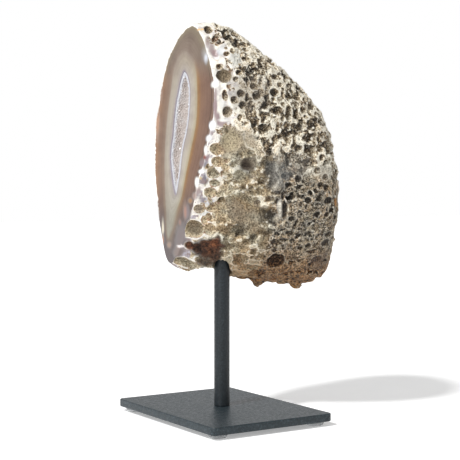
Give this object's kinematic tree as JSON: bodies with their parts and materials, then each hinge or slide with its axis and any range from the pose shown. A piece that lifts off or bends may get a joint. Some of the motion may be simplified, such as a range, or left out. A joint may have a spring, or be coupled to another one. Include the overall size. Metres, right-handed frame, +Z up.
{
  "type": "agate nodule on a display stand",
  "caption": "Agate nodule with one sawn and polished face, a crystal-lined hollow and natural pitted skin, held on a rod above a flat plate with dome feet.",
  "frame": {"origin": "middle of the bounding box's bottom face, on the surface that the feet rest on", "axes": "+Z up along the rod, -Y out of the polished face, +X along the plate's long side, to the right seen from the face"},
  "size_m": [0.095, 0.1, 0.2007],
  "materials": {
    "agate_stone": "banded grey-mauve and cream agate, polished on the sawn face, rough pitted skin elsewhere",
    "quartz_crystal": "fine pinkish-grey druzy crystals, sparkling",
    "powder_coated_steel": "fine-textured black-grey powder coat",
    "clear_bumper": "clear soft polyurethane"
  },
  "bodies": {
    "root": {"agate_nodule": "agate_stone", "quartz_crust": "quartz_crystal", "support_rod": "powder_coated_steel", "base_plate": "powder_coated_steel", "bumper_foot_front_left": "clear_bumper", "bumper_foot_front_right": "clear_bumper", "bumper_foot_rear_left": "clear_bumper", "bumper_foot_rear_right": "clear_bumper"}
  },
  "joints": []
}
